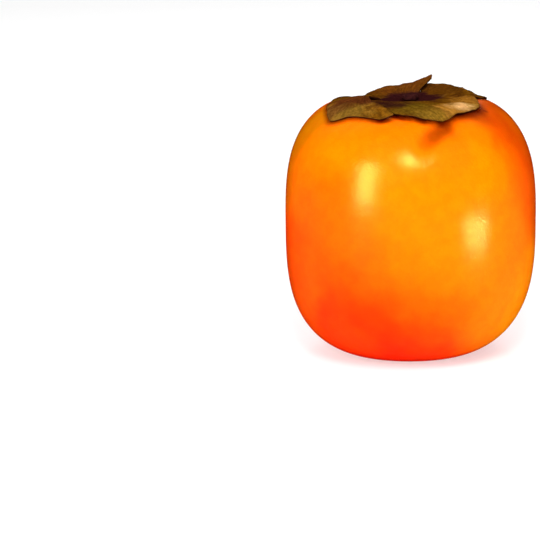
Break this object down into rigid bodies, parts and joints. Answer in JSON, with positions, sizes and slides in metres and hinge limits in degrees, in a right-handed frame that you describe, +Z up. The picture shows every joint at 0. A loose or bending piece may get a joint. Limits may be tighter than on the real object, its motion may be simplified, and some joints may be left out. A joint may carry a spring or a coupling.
{
  "type": "persimmon",
  "caption": "Ripe squarish persimmon standing on its flat base, with a dry leafy calyx and a clipped woody stem stub on its crown.",
  "frame": {"origin": "middle of the spot that the fruit rests on", "axes": "+Z up from the resting spot to the calyx; -Y is the side the picture shows"},
  "size_m": [0.076, 0.076, 0.0824],
  "materials": {
    "fruit_skin": "smooth waxy skin, satin gloss, yellow-orange crown to red-orange base",
    "dry_calyx": "dry matt leaf, brown with olive patches and fine radiating veins",
    "stem_wood": "rough dark bark with a paler cut end"
  },
  "bodies": {
    "root": {"fruit": "fruit_skin", "calyx": "dry_calyx", "stem": "stem_wood"}
  },
  "joints": []
}
